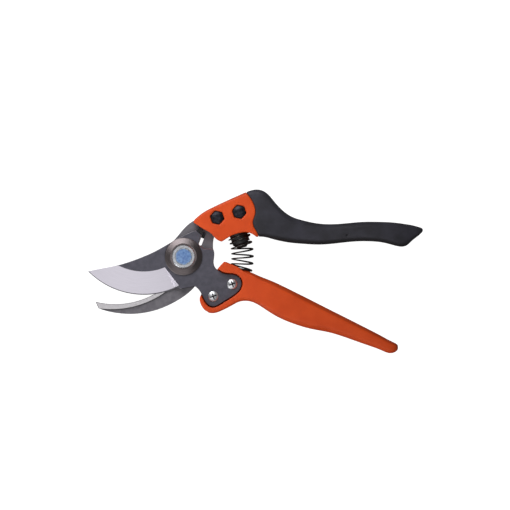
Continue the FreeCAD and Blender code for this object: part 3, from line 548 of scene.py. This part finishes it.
def wind_spring():
    length = (TOP_ANGLE - BOTTOM_ANGLE) * ORBIT_RADIUS
    closed_rise = CLOSED_TURNS * 2 * WIRE_RADIUS
    open_rise = length - 2 * closed_rise
    bm = bmesh.new()
    wire = bmesh.ops.create_circle(bm, radius=WIRE_RADIUS, segments=WIRE_SIDES)["verts"]
    bmesh.ops.translate(bm, verts=wire, vec=(COIL_RADIUS, 0.0, 0.0))
    bmesh.ops.rotate(bm, verts=wire, cent=(COIL_RADIUS, 0.0, 0.0),
                     matrix=Matrix.Rotation(math.pi / 2, 3, "X"))
    ring = list({edge for vert in wire for edge in vert.link_edges})
    first = list(wire)
    for turns, rise in ((CLOSED_TURNS, closed_rise), (TURNS - 2 * CLOSED_TURNS, open_rise),
                        (CLOSED_TURNS, closed_rise)):
        steps = round(turns * STEPS_PER_TURN)
        spun = bmesh.ops.spin(bm, geom=ring, cent=(0, 0, 0), axis=(0, 0, 1), angle=turns * 2 * math.pi,
                              dvec=(0, 0, rise / steps), steps=steps)
        ring = [item for item in spun["geom_last"] if isinstance(item, bmesh.types.BMEdge)]
    last = list({vert for edge in ring for vert in edge.verts})
    for end in (first, last):
        bmesh.ops.contextual_create(bm, geom=end)
    # carry each point from the straight coil to the one bent round the pivot
    for vert in bm.verts:
        angle = TOP_ANGLE - vert.co.z / ORBIT_RADIUS
        reach = ORBIT_RADIUS + vert.co.x
        vert.co = Vector((reach * math.cos(angle), reach * math.sin(angle), COIL_Z + vert.co.y))
    bmesh.ops.recalc_face_normals(bm, faces=bm.faces)
    mesh = bpy.data.meshes.new("return_spring_wire")
    bm.to_mesh(mesh)
    bm.free()
    mesh.shade_smooth()
    mesh.materials.append(finishes["wire"])
    piece = bpy.data.objects.new("return_spring_wire", mesh)
    bpy.context.scene.collection.objects.link(piece)
    return piece


spring = wind_spring()
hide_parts("return_spring")
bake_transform(spring)
print("spring faces:", len(spring.data.polygons))

# %% [markdown]
# ## The studio
# A product picture of this kind is shot straight down on a white table. Soft boxes keep the highlights broad.
# The main one stands close, to the upper left, so the cap washer lights up there and the light falls off along
# the handles. A large one overhead is what the ground bevel mirrors, and a low one at the lower left picks out
# the edges.

# %% Floor, lights and world
AIR_LIGHT = 0.20
TABLE_SIZE = 3.0
WHITE = (1.0, 1.0, 1.0, 1.0)

scene = bpy.context.scene
scene.view_settings.view_transform = "Standard"

floor_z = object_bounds()[0].z - 0.2 * MM
floor_mesh = bpy.data.meshes.new("studio_floor")
bm = bmesh.new()
bmesh.ops.create_grid(bm, x_segments=1, y_segments=1, size=TABLE_SIZE)
bmesh.ops.translate(bm, verts=bm.verts, vec=(0.0, 0.0, floor_z))
bm.to_mesh(floor_mesh)
bm.free()
floor = bpy.data.objects.new("studio_floor", floor_mesh)
scene.collection.objects.link(floor)
floor_material, _, floor_shader, _ = start_material("white_table_laminate", roughness=0.9)
floor_shader.inputs["Base Color"].default_value = linear("9A9A9A")
floor_shader.inputs["Specular IOR Level"].default_value = 0.0
floor_shader.inputs["Emission Color"].default_value = WHITE
floor_shader.inputs["Emission Strength"].default_value = 1.0
floor_mesh.materials.append(floor_material)
# a glowing table would throw light up at the sides of the tool, which a real one doesn't
floor.visible_diffuse = False
floor.visible_glossy = False

world = bpy.data.worlds.new("studio_air")
world.use_nodes = True
air = world.node_tree
air.nodes["Background"].inputs[0].default_value = WHITE
air.nodes["Background"].inputs[1].default_value = AIR_LIGHT
# the backdrop past the table's edge is as white as the table, but only this much of it lights the tool
backdrop = add(air, "ShaderNodeBackground", {0: WHITE, 1: 1.0})
seen = add(air, "ShaderNodeLightPath").outputs["Is Camera Ray"]
sky = add(air, "ShaderNodeMixShader", links={0: seen, 1: air.nodes["Background"].outputs[0],
                                             2: backdrop.outputs[0]})
air.links.new(sky.outputs[0], air.nodes["World Output"].inputs[0])
scene.world = world


def soft_box(name, place, aim, size, power):
    light = bpy.data.lights.new(name, "AREA")
    light.size = size
    light.energy = power
    lamp = bpy.data.objects.new(name, light)
    lamp.location = place
    lamp.rotation_euler = (Vector(aim) - Vector(place)).to_track_quat("-Z", "Y").to_euler()
    lamp.visible_camera = False
    scene.collection.objects.link(lamp)
    print(name, "power:", power, "W")


middle = (Vector(cad_bounds[0]) + Vector(cad_bounds[1])) / 2
pivot = (0.0, 0.0, 0.0)
soft_box("main_box", (-0.06, 0.19, 0.21), pivot, 0.20, 0.62)
soft_box("bevel_box", (-0.10, -0.36, 0.80), middle, 0.90, 2.3)
soft_box("edge_box", (-0.26, -0.36, 0.12), pivot, 0.24, 0.6)

# %% [markdown]
# ## The camera
# The picture shows no perspective, so the camera is orthographic. It looks straight at the front face, and
# its frame is wide enough to leave white on all sides.

# %% Camera
camera_data = bpy.data.cameras.new("front_camera")
camera_data.type = "ORTHO"
camera_data.ortho_scale = 0.3264
camera = bpy.data.objects.new("front_camera", camera_data)
camera.location = (0.04576, 0.00096, 0.6)
scene.collection.objects.link(camera)
scene.camera = camera
